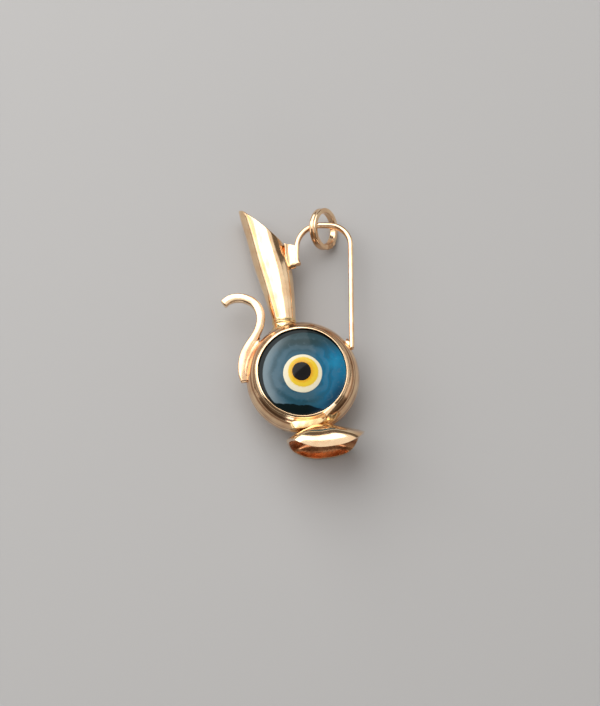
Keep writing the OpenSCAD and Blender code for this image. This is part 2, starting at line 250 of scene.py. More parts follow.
class Link:
    def __init__(self, tree, socket=None):
        self.tree = tree
        self.socket = socket

    def add(self, kind, settings=None, inputs=None, output=0):
        node = self.tree.nodes.new(kind)
        for key, value in (settings or {}).items():
            setattr(node, key, value)
        for key, value in (inputs or {}).items():
            if isinstance(value, Link):
                self.tree.links.new(value.socket, node.inputs[key])
            else:
                node.inputs[key].default_value = value
        return Link(self.tree, node.outputs[output] if node.outputs else None)

    def maths(self, operation, *values):
        return self.add("ShaderNodeMath", {"operation": operation}, dict(enumerate(values)))

    def __add__(self, other):
        return self.maths("ADD", self, other)

    def __radd__(self, other):
        return self.maths("ADD", other, self)

    def __sub__(self, other):
        return self.maths("SUBTRACT", self, other)

    def __rsub__(self, other):
        return self.maths("SUBTRACT", other, self)

    def __mul__(self, other):
        return self.maths("MULTIPLY", self, other)

    def __rmul__(self, other):
        return self.maths("MULTIPLY", other, self)

    def __pow__(self, other):
        return self.maths("POWER", self, other)

    def sine(self):
        return self.maths("SINE", self)

    def ease(self, low, high):
        # 0 below low, 1 above high and smooth between; low may be the larger
        return self.add("ShaderNodeMapRange", {"interpolation_type": "SMOOTHSTEP"},
                        {"Value": self, "From Min": low, "From Max": high})

    def moved(self, by):
        return self.add("ShaderNodeVectorMath", {"operation": "SUBTRACT"}, {0: self, 1: by})

    def stretched(self, by):
        return self.add("ShaderNodeVectorMath", {"operation": "MULTIPLY"}, {0: self, 1: by})

    def length(self):
        return self.add("ShaderNodeVectorMath", {"operation": "LENGTH"}, {0: self}, output=1)

    def part(self, axis):
        return self.add("ShaderNodeSeparateXYZ", {}, {0: self}, output=axis)

    def cloud(self, scale, detail, distortion=0.0):
        return self.add("ShaderNodeTexNoise", {}, {"Vector": self, "Scale": scale, "Detail": detail,
                                                   "Distortion": distortion})

    def spots(self, scale, detail, low, high):
        # only the parts of a cloud that lie over low
        return self.cloud(scale, detail).ease(low, high)

    def mix(self, first, second):
        # this value is the share of the second colour
        return self.add("ShaderNodeMix", {"data_type": "RGBA"}, {0: self, 6: first, 7: second}, output=2)


def newMaterial(name):
    material = bpy.data.materials.new(name)
    material.use_nodes = True
    material.node_tree.nodes.clear()
    start = Link(material.node_tree)
    inMm = start.add("ShaderNodeTexCoord", output="Object").stretched((1000, 1000, 1000))
    return material, start, inMm


def bumps(start, height):
    return start.add("ShaderNodeBump", {}, {"Height": height, "Distance": mm, "Strength": 1.0})


def surface(start, inputs):
    shader = start.add("ShaderNodeBsdfPrincipled", {}, inputs)
    start.add("ShaderNodeOutputMaterial", {}, {"Surface": shader})


# Gold: warm, polished, a little wavy, with fine scratches

goldLooks = {      # colours, roughness and how much more in dull places, and heights of the relief in mm
    "polishedGold": {"light": (0.95, 0.71, 0.45, 1), "deep": (0.86, 0.56, 0.32, 1),
                     "rough": 0.11, "roughMore": 0.08, "wave": 0.006, "scratch": 0.0006},
    "wireGold": {"light": (0.93, 0.68, 0.43, 1), "deep": (0.79, 0.5, 0.29, 1),
                 "rough": 0.12, "roughMore": 0.08, "wave": 0.006, "scratch": 0.0006},
    "bowlGold": {"light": (0.92, 0.67, 0.42, 1), "deep": (0.79, 0.49, 0.28, 1),
                 # dark brown for the bands of painted reflection
                 "reflectionBand": (0.32, 0.14, 0.065, 1),
                 "rough": 0.12, "roughMore": 0.08, "wave": 0.006, "scratch": 0.0006},
    "solderGold": {"light": (0.95, 0.72, 0.38, 1), "deep": (0.84, 0.55, 0.27, 1),
                   "rough": 0.18, "roughMore": 0.1, "wave": 0.012, "scratch": 0.001},
    # the foot's inside: darker and redder gold, a painted shade
    "shadedInsideGold": {"light": (0.84, 0.42, 0.2, 1), "deep": (0.4, 0.13, 0.05, 1),
                  "rough": 0.2, "roughMore": 0.16, "wave": 0.02, "scratch": 0.0006},
    "pittedGold": {"light": (0.85, 0.57, 0.34, 1), "deep": (0.55, 0.3, 0.15, 1),
                   "rough": 0.22, "roughMore": 0.2, "wave": 0.04, "scratch": 0.002, "pit": 0.035},
}
goldSpots = {      # scale, detail, and the noise from which they start to show and show in full
    "patch": (0.55, 3, 0.35, 0.7), "grime": (2.6, 4, 0.5, 0.8), "reflectionBand": (1.0, 2, 0.44, 0.6),
    "dull": (1.7, 4, 0.3, 0.8), "pit": (4.5, 3, 0.5, 0.72),
}
goldShares = {"grime": 0.35, "reflectionBand": 0.85, "pitRough": 0.15}
goldRelief = {"wave": (0.8, 1), "scratch": (9, 3), "scratchWay": (1, 7, 1)}      # scale and detail
reflectionBandScale = {"out": 2.2, "round": 0.12, "drift": (0.3, 1)}      # narrow across the painted reflection bands, long along them


def gold(name):
    look = goldLooks[name]
    material, start, place = newMaterial(name)
    colour = place.spots(*goldSpots["patch"]).mix(look["light"], look["deep"])
    colour = (place.spots(*goldSpots["grime"]) * goldShares["grime"]).mix(colour, look["deep"])
    if "reflectionBand" in look:      # painted dark reflections, in bands round the bowl
        around = (reflectionBandScale["round"], reflectionBandScale["round"], 0)
        across = place.stretched((1, 1, 0)).length() * reflectionBandScale["out"]
        up = place.part(2) * reflectionBandScale["out"]
        along = place.stretched(around).length() + place.cloud(*reflectionBandScale["drift"])
        band = start.add("ShaderNodeCombineXYZ", {}, {0: across, 1: up, 2: along})
        colour = (band.spots(*goldSpots["reflectionBand"]) * goldShares["reflectionBand"]).mix(colour, look["reflectionBand"])
    rough = look["rough"] + look["roughMore"] * place.spots(*goldSpots["dull"])
    height = place.cloud(*goldRelief["wave"]) * look["wave"]
    scratches = place.stretched(goldRelief["scratchWay"]).cloud(*goldRelief["scratch"])
    height = height + scratches * look["scratch"]
    if "pit" in look:
        pits = place.spots(*goldSpots["pit"])
        height = height - look["pit"] * pits
        rough = rough + goldShares["pitRough"] * pits
    surface(start, {"Base Color": colour, "Metallic": 1.0, "Roughness": rough,
                    "Normal": bumps(start, height)})
    return material


polishedGold = gold("polishedGold")
solderGold = gold("solderGold")
shadedInsideGold = gold("shadedInsideGold")
bowlGold = gold("bowlGold")
wireGold = gold("wireGold")
pittedGold = gold("pittedGold")

# Glass: blue with a dark edge and greyer on the left, both painted reflections, and the eye's three colours

glassLook = {
    "middle": (-0.14, 0.17, 0.0),
    "teal": (0.022, 0.095, 0.145, 1),
    # grey: a painted haze on the left, and the swirls' and streaks' own colour
    "grey": (0.1, 0.165, 0.205, 1),
    # green: a painted dark reflection along the top, and the dark swirls
    "green": (0.02, 0.042, 0.043, 1),
    # pale: a painted sheen on the left, and the flecks
    "pale": (0.32, 0.38, 0.4, 1),
    "cerulean": (0.003, 0.16, 0.31, 1),
    # navy: painted dark reflection at the low right and in the pool
    "navy": (0.003, 0.022, 0.06, 1),
    # edge: a painted dark reflection at the lens's edge and in the pool
    "edge": (0.004, 0.01, 0.011, 1),
    # a brighter blue patch on the right: a painted highlight
    "paintedGlow": (0.01, 0.26, 0.46, 1),
    "paintedGlowMiddle": (3.6, 0.9, 0.0),
    "lensMiddle": (0.35, -0.25, 0.0),      # the clear lens inside the painted dark reflection at the edge, from the glass's middle
    "lensR": 4.8,
    "lensSoft": 0.04,
    "paintedPool": {"x": -3.0, "y": -3.6, "bend": 0.022},      # upper edge of the dark pool along the bottom, a painted dark reflection
    "wobble": (0.45, 3, 0.6),      # scale, detail and distortion of the slow and the fine unevenness
    "streak": (1.3, 4, 1.2),
    "fleck": (2.2, 3, 0.7, 0.78),
    "swirl": {"perMm": 5.0, "wobble": 9.0},
    "relief": {"scale": 0.6, "height": 0.06},
    "rough": 0.1,
    "specular": 0.16,
}
glassReach = {      # where a tint starts and where it is full: in mm, or along a swirl from -1 to 1
    "right": (0.5, 3.0), "left": (-0.8, -4.0), "top": (1.6, 3.6),
    "haloIn": (2.15, 2.5), "haloOut": (4.6, 3.4), "swirlPale": (-0.4, 1.0), "swirlDark": (0.4, -1.0),
    "navyOut": (3.4, 4.8), "navyLow": (0.2, -2.4), "paintedGlow": (1.3, 0.1),
    "streak": (0.06, 0.24), "streakOut": (2.3, 2.9), "pale": (3.6, 4.7), "paintedPool": (-0.05, 0.08),
}
glassShare = {"left": 0.7, "top": 0.85, "swirlPale": 0.25, "swirlDark": 0.35, "navy": 0.8, "paintedGlow": 0.6,
              "streak": 0.3, "pale": 0.45, "fleck": 0.15}


def blueGlass():
    look, reach, share = glassLook, glassReach, glassShare
    material, start, place = newMaterial("blueGlass")
    flat = place.moved(look["middle"]).stretched((1, 1, 0))
    wobble = flat.cloud(*look["wobble"]) - 0.5
    streak = flat.cloud(*look["streak"]) - 0.5
    radius = flat.length() + 0.3 * wobble
    side = flat.part(0) + 1.4 * wobble
    up = flat.part(1) + 0.8 * wobble
    right = side.ease(*reach["right"])
    left = side.ease(*reach["left"])
    lens = flat.moved(look["lensMiddle"]).length()
    colour = right.mix(look["teal"], look["cerulean"])
    # painted reflection: a grey haze over the left side
    colour = (left * share["left"]).mix(colour, look["grey"])
    # painted dark reflection: dark green along the top
    colour = (up.ease(*reach["top"]) * share["top"]).mix(colour, look["green"])
    swirl = (radius * look["swirl"]["perMm"] + look["swirl"]["wobble"] * wobble).sine()
    halo = radius.ease(*reach["haloIn"]) * radius.ease(*reach["haloOut"])
    colour = (swirl.ease(*reach["swirlPale"]) * halo * share["swirlPale"]).mix(colour, look["grey"])
    colour = (swirl.ease(*reach["swirlDark"]) * halo * share["swirlDark"]).mix(colour, look["green"])
    # painted dark reflection: navy toward the lower right edge
    lowRight = radius.ease(*reach["navyOut"]) * right * up.ease(*reach["navyLow"])
    colour = (lowRight * share["navy"]).mix(colour, look["navy"])
    # painted highlight: a brighter blue glow on the right
    near = flat.moved(look["paintedGlowMiddle"]).length() + 1.2 * wobble + 1.5 * streak
    colour = (near.ease(*reach["paintedGlow"]) * share["paintedGlow"]).mix(colour, look["paintedGlow"])
    thread = streak.ease(*reach["streak"]) * radius.ease(*reach["streakOut"])
    colour = (thread * share["streak"]).mix(colour, look["grey"])
    # painted sheen: pale inside the lens on the left
    colour = (lens.ease(*reach["pale"]) * left * share["pale"]).mix(colour, look["pale"])
    # painted dark reflection: a dark ring at the lens's edge
    rim = lens.ease(look["lensR"] - look["lensSoft"], look["lensR"] + look["lensSoft"])
    colour = rim.mix(colour, look["edge"])
    # painted dark reflection: a dark pool along the bottom, navy toward the right
    paintedPool = look["paintedPool"]
    across = flat.part(0) - paintedPool["x"]
    depth = paintedPool["y"] - flat.part(1) - paintedPool["bend"] * across ** 2 + 0.8 * wobble + 0.2 * streak
    dark = right.mix(look["edge"], look["navy"])
    colour = depth.ease(*reach["paintedPool"]).mix(colour, dark)
    colour = (flat.spots(*look["fleck"]) * share["fleck"]).mix(colour, look["pale"])
    height = place.cloud(look["relief"]["scale"], 1) * look["relief"]["height"]
    surface(start, {"Base Color": colour, "Roughness": look["rough"], "IOR": 1.5,
                    "Specular IOR Level": look["specular"], "Normal": bumps(start, height)})
    return material


eyeLooks = {      # colours at the edge and toward the middle, the radii between them, and that middle
    "whiteGlass": {"edge": (0.8, 0.74, 0.54, 1), "inner": (0.8, 0.62, 0.2, 1),
                   "turns": (1.86, 1.62), "middle": (-0.05, 0.01, 0), "specular": 0.3},
    "yellowGlass": {"edge": (0.8, 0.55, 0.025, 1), "inner": (0.72, 0.34, 0.004, 1),
                    "turns": (1.55, 1.0), "middle": (-0.2, 0.1, 0), "specular": 0.3},
    "blackGlass": {"edge": (0.006, 0.004, 0.0035, 1), "inner": (0.003, 0.0025, 0.0025, 1),
                   "turns": (1.0, 0.3), "middle": (-0.24, 0.07, 0), "specular": 0.16},
}


def eyeGlass(name):
    # opaque glass whose colour turns to another toward the middle, with fine streaks
    look = eyeLooks[name]
    material, start, place = newMaterial(name)
    flat = place.moved(look["middle"]).stretched((1, 1, 0))
    streak = flat.cloud(5.0, 2) - 0.5
    share = (flat.length() + 0.35 * streak).ease(*look["turns"])
    surface(start, {"Base Color": share.mix(look["edge"], look["inner"]), "Roughness": 0.07, "IOR": 1.5,
                    "Specular IOR Level": look["specular"]})
    return material


blueGlassMaterial = blueGlass()
whiteGlass = eyeGlass("whiteGlass")
yellowGlass = eyeGlass("yellowGlass")
blackGlass = eyeGlass("blackGlass")
print("materials done")

# Camera, from the photograph's frame of 600 by 706 pixels

view = {"place": (-5.80, -37.84, 170.52), "tilt": 13.745, "roll": -1.782, "turn": -0.436,
        "focalPixels": 1500, "frameHeight": 706, "sensor": 36.0}
bpy.ops.object.camera_add(location=Vector(view["place"]) * mm,
                          rotation=[math.radians(view[key]) for key in ("tilt", "roll", "turn")])
camera = bpy.context.object
camera.name = "photoCamera"
camera.data.sensor_fit = "VERTICAL"
camera.data.sensor_height = view["sensor"]
camera.data.lens = view["sensor"] * view["focalPixels"] / view["frameHeight"]
camera.data.clip_start = 0.005
bpy.context.scene.camera = camera

# Floor and light

studio = {"floorSize": 3.0, "floorGap": 0.01, "floorColour": (0.45, 0.445, 0.44, 1), "floorRough": 0.7,
          "worldColour": (0.5, 0.43, 0.37, 1), "worldStrength": 0.26, "aim": (0, 4, 3)}
softLights = {      # place and size in mm, aimed at the charm
    "overhead": {"place": (60, 170, 430), "size": (720, 580), "watts": 1.1},
    "window": {"place": (-200, 230, 330), "size": (560, 560), "watts": 2.2},
    "leftWall": {"place": (-460, 60, 170), "size": (500, 260), "watts": 0.5},
    "frontStrip": {"place": (40, -440, 90), "size": (420, 130), "watts": 0.4},
    "rightWall": {"place": (460, 80, 150), "size": (500, 240), "watts": 0.26},
}


def studioFloor():
    deselect()
    floorZ = cadBounds[0][2] - studio["floorGap"] * mm
    bpy.ops.mesh.primitive_plane_add(size=studio["floorSize"], location=(0, 0, floorZ))
    floor = named("floor")
    bpy.ops.object.transform_apply(location=True)
    material, start, place = newMaterial("paleFloor")
    surface(start, {"Base Color": studio["floorColour"], "Roughness": studio["floorRough"]})
    floor.data.materials.append(material)


def studioLights():
    target = Vector(studio["aim"]) * mm
    for name, light in softLights.items():
        place = Vector(light["place"]) * mm
        bpy.ops.object.light_add(type="AREA", location=place)
        lamp = bpy.context.object
        lamp.name = name
        lamp.rotation_euler = (target - place).to_track_quat("-Z", "Y").to_euler()
        lamp.data.shape = "RECTANGLE"
        lamp.data.size = light["size"][0] * mm
        lamp.data.size_y = light["size"][1] * mm
        lamp.data.energy = light["watts"]
    world = bpy.data.worlds.new("studioWorld")
    bpy.context.scene.world = world
    world.use_nodes = True
    background = world.node_tree.nodes["Background"]
    background.inputs["Color"].default_value = studio["worldColour"]
    background.inputs["Strength"].default_value = studio["worldStrength"]


studioFloor()
studioLights()
bpy.context.scene.view_settings.view_transform = "Standard"
print("camera, floor and light done")

# Bowl: a pressed shell with a domed back and a rounded side, bored out for the bezel

bowl = {"r": 6.45, "midZ": 3.8, "sideR": 3.1, "wall": 0.45, "ripple": 0.014, "ripples": 7,
        "sag": 0.25}      # how much of the dome the flat on the back takes off
bezel = {"r": 5.0, "thick": 0.38, "topZ": 6.38, "middle": (-0.14, 0.17), "gap": 0.02,
         "ledgeZ": 5.2, "ledgeR": 4.5,      # the shelf in the bowl that carries the glass
         "crest": 0.17, "crestDrop": 0.015, "slope": 0.2, "chamfer": (0.02, 0.04), "soft": 0.05,
         "wanderZ": 6, "wander": 0.035, "wave": 0.05}


def makeBowl():
    sideX = bowl["r"] - bowl["sideR"]
    gap = bowl["sag"] - bowl["sideR"]
    backZ = (sideX ** 2 + bowl["midZ"] ** 2 - gap ** 2) / (2 * (gap + bowl["midZ"]))
    backR = backZ + bowl["sag"]
    join = math.degrees(math.atan2(bowl["midZ"] - backZ, sideX))
    seat = bezel["r"] + bezel["thick"] + bezel["gap"]
    shoulder = math.degrees(math.acos((seat - sideX) / bowl["sideR"]))
    flatEnd = -math.degrees(math.asin(backZ / backR))
    back = arc((0, backZ), backR, flatEnd, join, 8)
    steps = 48
    side = []
    for i, (r, z) in enumerate(arc((sideX, bowl["midZ"]), bowl["sideR"], join, shoulder, steps)):
        push = bowl["ripple"] * math.sin(2 * math.pi * bowl["ripples"] * i / steps) * min(1, i / 6)
        turn = math.radians(join + (shoulder - join) * i / steps)
        side.append((r + push * math.cos(turn), z + push * math.sin(turn)))
    innerSide = bowl["sideR"] - bowl["wall"]
    innerBack = backR - bowl["wall"]
    ledgeLow = bezel["ledgeZ"] - bowl["wall"]
    ledgeTurn = math.degrees(math.asin((ledgeLow - bowl["midZ"]) / innerSide))
    innerEnd = math.degrees(math.asin((bowl["wall"] - backZ) / innerBack))
    profile = [(0, 0)] + back + side[1:]
    profile += [(seat, bezel["ledgeZ"]), (bezel["ledgeR"], bezel["ledgeZ"]), (bezel["ledgeR"], ledgeLow)]
    profile += arc((sideX, bowl["midZ"]), innerSide, ledgeTurn, join, 10)
    profile += arc((0, backZ), innerBack, join, innerEnd, 8)[1:]
    profile += [(0, bowl["wall"])]
    piece = lathe("bowl", profile, 160)
    shift = Vector((*bezel["middle"], 0)) * mm
    for point in piece.data.vertices:     # the seat follows the bezel, the widest line stays
        if point.co.z / mm > bowl["midZ"]:
            share = (bowl["r"] - point.co.xy.length / mm) / (bowl["r"] - seat)
            point.co += shift * min(max(share, 0), 1)
    smoothShade(piece, 40)
    finish(piece, bowlGold, "gold", "pitcher")


makeBowl()
print("bowl done")

# Bezel: a thin strip round the glass, with one lapped end lying askew over its top

lap = {"r": 5.33, "w": 0.5, "thick": 0.34, "length": 1.75, "angle": -55, "turn": 11, "lift": 0.07,
       "upEnd": (0.85, 1, 0.8), "lowEnd": (1.15, 1, 0.9), "bevel": 0.07}


def makeBezel():
    low = bezel["ledgeZ"] + bezel["gap"]
    innerR = bezel["r"]
    outerR = innerR + bezel["thick"]
    top = bezel["topZ"]
    soft = bezel["soft"]
    cutR, cutZ = bezel["chamfer"]
    profile = [(innerR, low), (outerR, low), (outerR, top - bezel["slope"] - cutZ),
               (outerR - cutR, top - bezel["slope"]), (innerR + bezel["crest"], top - bezel["crestDrop"])]
    profile += arc((innerR + soft, top - soft), soft, 70, 180, 4)
    profile += [(innerR, low)]
    piece = lathe("bezelStrip", profile, 160)
    for point in piece.data.vertices:     # burnished by hand: the top edge wanders a little
        if point.co.z / mm > bezel["wanderZ"]:
            turn = math.atan2(point.co.y, point.co.x)
            radial = Vector((point.co.x, point.co.y, 0)).normalized()
            point.co += radial * waverRound(turn, 3, 0.5) * bezel["wander"] * mm
            point.co.z += waverRound(turn, 2, 7) * bezel["wave"] * mm
        point.co += Vector((*bezel["middle"], 0)) * mm
    smoothShade(piece, 50)
    finish(piece, polishedGold, "gold", "bezel_strip")


def makeLap():
    deselect()
    bpy.ops.mesh.primitive_cube_add(size=mm)
    piece = named("bezelLap")
    bpy.ops.object.mode_set(mode="EDIT")
    bpy.ops.mesh.select_all(action="SELECT")
    bpy.ops.transform.resize(value=(lap["w"], lap["length"], lap["thick"]))
    pick(piece, lambda face: face.normal.y > 0.9)
    bpy.ops.transform.resize(value=lap["upEnd"])
    pick(piece, lambda face: face.normal.y < -0.9)
    bpy.ops.transform.resize(value=lap["lowEnd"])
    bpy.ops.object.mode_set(mode="OBJECT")
    modify(piece, "BEVEL", width=lap["bevel"] * mm, segments=3)
    smoothSurface(piece, 1)
    middle = Vector((*bezel["middle"], bezel["topZ"] + lap["thick"] / 2 - lap["lift"])) * mm
    around = Matrix.Rotation(math.radians(lap["angle"]), 4, "Z")
    askew = Matrix.Translation((lap["r"] * mm, 0, 0)) @ Matrix.Rotation(math.radians(lap["turn"]), 4, "Z")
    piece.data.transform(Matrix.Translation(middle) @ around @ askew)
    smoothShade(piece)
    finish(piece, polishedGold, "gold", "bezel_strip")


makeBezel()
makeLap()
print("bezel done")

# Glass: a domed disc, with the eye's layers let in and standing a little proud

glass = {"r": bezel["r"] - bezel["gap"], "edgeZ": 6.08, "dome": 0.8, "soft": 0.16,
         "layerSoft": 0.07, "swell": 0.012}
layers = {      # radius, middle from the glass's middle, underside and rise over the glass, in mm
    "eyeWhite": {"r": 2.21, "at": (0.02, -0.31), "low": 6.22, "proud": 0.03, "node": "eye_white"},
    "eyeYellow": {"r": 1.72, "at": (0.09, -0.16), "low": 6.44, "proud": 0.05, "node": "eye_yellow"},
    "eyePupil": {"r": 1.08, "at": (-0.1, -0.1), "low": 6.62, "proud": 0.08, "node": "eye_pupil"},
}


def domeHeight(distance):
    radius = (glass["r"] ** 2 + glass["dome"] ** 2) / (2 * glass["dome"])
    return glass["edgeZ"] + glass["dome"] - radius + math.sqrt(radius ** 2 - distance ** 2)


def makeGlass():
    low = bezel["ledgeZ"] + bezel["gap"]
    soft = glass["soft"]
    shoulderR = glass["r"] - soft
    top = [(r, domeHeight(r)) for r in [shoulderR * (1 - i / 24) for i in range(25)]]
    shoulder = arc((shoulderR, top[0][1] - soft), soft, 0, 80, 5)
    piece = lathe("eyeGlass", [(0, low), (glass["r"], low)] + shoulder + top, 128)
    piece.data.transform(Matrix.Translation(Vector((*bezel["middle"], 0)) * mm))
    smoothShade(piece, 60)
    finish(piece, blueGlassMaterial, "blue_glass", "eye_glass")


def makeLayer(name, material, slot):
    layer = layers[name]
    soft = glass["layerSoft"]
    r = layer["r"]
    rise = layer["proud"]
    edgeZ = domeHeight(r) + rise
    profile = [(0, layer["low"]), (r - soft, layer["low"]), (r, edgeZ - 2 * soft)]
    profile += [(r - soft * (1 - math.cos(t)), edgeZ - soft * (1 - math.sin(t)) - 0.01)
                for t in (0.3, 0.7, 1.1, 1.5)]
    profile += [((r - soft) * (1 - i / 12), domeHeight(r * (1 - i / 12)) + rise) for i in range(1, 13)]
    piece = lathe(name, profile, 96)
    for point in piece.data.vertices:     # dots of melted glass are never quite round, and follow the dome
        turn = math.atan2(point.co.y, point.co.x)
        swell = 1 + glass["swell"] * waverRound(turn, 2, r)
        point.co.x *= swell
        point.co.y *= swell
        if point.co.z / mm > layer["low"] + 0.01:
            here = point.co.xy / mm
            point.co.z += (domeHeight((here + Vector(layer["at"])).length) - domeHeight(here.length)) * mm
    offset = Vector((bezel["middle"][0] + layer["at"][0], bezel["middle"][1] + layer["at"][1], 0)) * mm
    piece.data.transform(Matrix.Translation(offset))
    smoothShade(piece, 60)
    finish(piece, material, slot, layer["node"])


makeGlass()
makeLayer("eyeWhite", whiteGlass, "white_glass")
makeLayer("eyeYellow", yellowGlass, "yellow_glass")
makeLayer("eyePupil", blackGlass, "black_glass")
print("glass done")

# Neck: a sheet rolled round until its edges lap, cut slantwise at the mouth

neck = {
    "sections": [      # y, middle x, middle z, width, depth
        (5.9, -2.03, 3.80, 2.56, 2.50), (9.65, -2.59, 3.27, 3.50, 3.34), (13.4, -3.35, 2.74, 4.33, 4.06),
        (17.15, -4.35, 2.28, 4.26, 4.21), (20.9, -5.36, 2.17, 4.20, 4.22)],
    "wall": 0.34, "seamAngle": 137, "overlap": 9, "seamStep": 0.17, "seamFade": 60, "bevel": 0.045,
    "mouthTip": (-7.46, 20.54), "mouthAngle": -38.9, "notch": 0.3, "notchReach": 6,
}


def neckAt(y):
    rows = neck["sections"]
    y = max(y, rows[0][0])
    i = max(k for k in range(len(rows) - 1) if rows[k][0] <= y)
    t = (y - rows[i][0]) / (rows[i + 1][0] - rows[i][0])
    return between([row[1:] for row in rows], i + min(max(t, 0), 1))


def neckPoint(y, turn):
    # a point of the sheet's outside; turn runs from the seam's lower edge round to its upper one
    x, z, width, depth = neckAt(y)
    inset = neck["seamStep"] * max(1 - turn / neck["seamFade"], 0)
    angle = math.radians(neck["seamAngle"] - turn)
    return Vector((x + (width / 2 - inset) * math.cos(angle), y, z + (depth / 2 - inset) * math.sin(angle)))


def mouthHeight(turn):
    y = 18.0
    for tries in range(6):      # the neck leans, so the slanting cut is found step by step
        x = neckPoint(y, turn).x
        y = neck["mouthTip"][1] + math.tan(math.radians(neck["mouthAngle"])) * (x - neck["mouthTip"][0])
    return y - neck["notch"] * hill(360 + neck["overlap"] - turn, neck["notchReach"])


def makeNeck():
    piece = blank("neck", 60, 26)
    base = neck["sections"][0][0]
    whole = 360 + neck["overlap"]

    def rolled(point):
        turn = point.x * whole
        top = mouthHeight(turn)
        return neckPoint(base + (top - base) * point.y, turn)

    form(piece, rolled)
    modify(piece, "SOLIDIFY", thickness=neck["wall"] * mm, offset=-1)
    roundEdges(piece, neck["bevel"])
    smoothSurface(piece, 1)
    smoothShade(piece)
    finish(piece, polishedGold, "gold", "pitcher")


makeNeck()
print("neck done")

# Collar: two raised rings and a fillet of solder where the neck meets the bowl

collar = {"rings": [(6.62, 0.07), (6.36, 0.12)], "spread": 0.09, "top": 6.9, "bottom": 5.2, "rough": 0.008,
          "flareTop": 6.35, "flare": 0.6, "innerShare": 0.9, "outerShare": 1.005, "neckR": 1.3}


def makeCollar():
    steps = 60
    profile = []
    for i in range(steps + 1):
        y = collar["top"] + (collar["bottom"] - collar["top"]) * i / steps
        out = sum(height * hill(y - middle, collar["spread"]) for middle, height in collar["rings"])
        flared = max(0, collar["flareTop"] - y) / (collar["flareTop"] - collar["bottom"])
        out += collar["flare"] * flared ** 2
        profile.append((collar["outerShare"] + out / collar["neckR"], y))
    topInside = (collar["innerShare"], collar["top"])
    profile = [topInside] + profile + [(collar["innerShare"], collar["bottom"]), topInside]
    piece = lathe("neckCollar", profile, 96)

    def around(point):
        # the lathed collar has radius 1 for the neck's half width and depth at that height
        y = point.z / mm
        x, z, width, depth = neckAt(y)
        rough = 1 + collar["rough"] * waver(point.x / mm * 2.2, point.y / mm * 2.2, y * 1.4)
        return (x + point.x / mm * width / 2 * rough, y, z - point.y / mm * depth / 2 * rough)

    form(piece, around)
    smoothShade(piece, 70)
    finish(piece, solderGold, "gold", "pitcher")


makeCollar()
print("collar done")

# Handle: one wire, drawn up the leg, over the arch and down to its flared end

handle = {"w": 0.6, "h": 0.8, "x": 5.59, "lowZ": 4.45, "endY": 3.16, "topY": 18.54, "span": 6.3,
          "arch": 2.45, "archLeft": 2.9, "stub": 2.7, "turn": 0.6, "slope": 5.0, "bevel": 0.23,
          "flareLength": 1.0, "flare": 0.32, "flareSlant": 0.12}


def makeHandle():
    leg = (handle["topY"] - handle["arch"] - handle["endY"]) * mm
    radius = handle["arch"] * mm
    wider = handle["archLeft"] * mm
    span = handle["span"] * mm
    flareLength = handle["flareLength"] * mm
    straight = (handle["stub"] - handle["flareLength"]) * mm + radius - wider
    deselect()
    bpy.ops.mesh.primitive_plane_add(size=mm, rotation=(math.pi / 2, 0, 0))
    piece = named("handle")
    bpy.ops.object.transform_apply(rotation=True)
    bpy.ops.object.mode_set(mode="EDIT")
    bpy.ops.mesh.select_mode(type="FACE")
    bpy.ops.mesh.select_all(action="SELECT")
    bpy.ops.transform.resize(value=(handle["w"], 1, handle["h"]))
    pull((0, leg / 12, 0), 12)
    bpy.ops.mesh.spin(steps=14, angle=-math.pi / 2, center=(-radius, leg, 0), axis=(0, 0, 1))
    pull((radius + wider - span, 0, 0))
    bpy.ops.mesh.spin(steps=16, angle=-math.pi / 2, center=(wider - span, leg + radius - wider, 0),
                      axis=(0, 0, 1))
    pull((0, -straight, 0))
    pull((0, -flareLength / 4, 0), 4)
    closeUp()
    flareTop = leg + radius - wider - straight
    for point in piece.data.vertices:
        if point.co.y < flareTop and point.co.x < -span / 2:
            share = (flareTop - point.co.y) / flareLength
            right = (point.co.x + span) / (handle["w"] / 2 * mm)
            point.co.x += handle["flare"] * mm * share ** 2 * max(0, right)
            point.co.y += handle["flareSlant"] * mm * share * right
    roundEdges(piece, handle["bevel"], 3)
    smoothSurface(piece, 1)
    slope = Matrix.Rotation(math.radians(-handle["slope"]), 4, "X")
    turn = Matrix.Rotation(math.radians(-handle["turn"]), 4, "Z")
    place = Matrix.Translation(Vector((handle["x"], handle["endY"], handle["lowZ"])) * mm)
    piece.data.transform(place @ turn @ slope)
    smoothShade(piece)
    finish(piece, wireGold, "gold", "pitcher")


makeHandle()
print("handle done")

# Lug: the solder that bridges the neck's flank and the handle's short side

lug = {"corners": [(-2.02, 16.05), (-0.72, 15.75), (-1.75, 12.95), (-0.72, 13.1)], "top": 3.9, "deep": 1.1,
       "dip": 0.14, "dipAt": 0.28, "dipReach": 0.1,      # a shallow valley beside the neck
       "drop": 0.3, "dropReach": 0.16, "waver": 0.012, "edgeWaver": 0.05, "bevel": 0.1}


def makeLug():
    piece = blank("lug", 14, 18)

    def poured(point):
        at = inside(lug["corners"], point)
        z = lug["top"] - lug["dip"] * hill(point.x - lug["dipAt"], lug["dipReach"])
        z -= lug["drop"] * (max(0, lug["dropReach"] - point.y) / lug["dropReach"]) ** 2
        z += lug["waver"] * waver(at.x * 1.2, at.y * 0.9, 3)
        return (at.x + lug["edgeWaver"] * waver(at.x, at.y * 2, 9), at.y, z)

    form(piece, poured)
    modify(piece, "SOLIDIFY", thickness=lug["deep"] * mm, offset=-1)
    roundEdges(piece, lug["bevel"])
    smoothSurface(piece, 1)
    smoothShade(piece, 70)
    finish(piece, polishedGold, "gold", "pitcher")


makeLug()
print("lug done")

# Spout: squarish wire bent in an S, flattened where it is soldered to the bowl

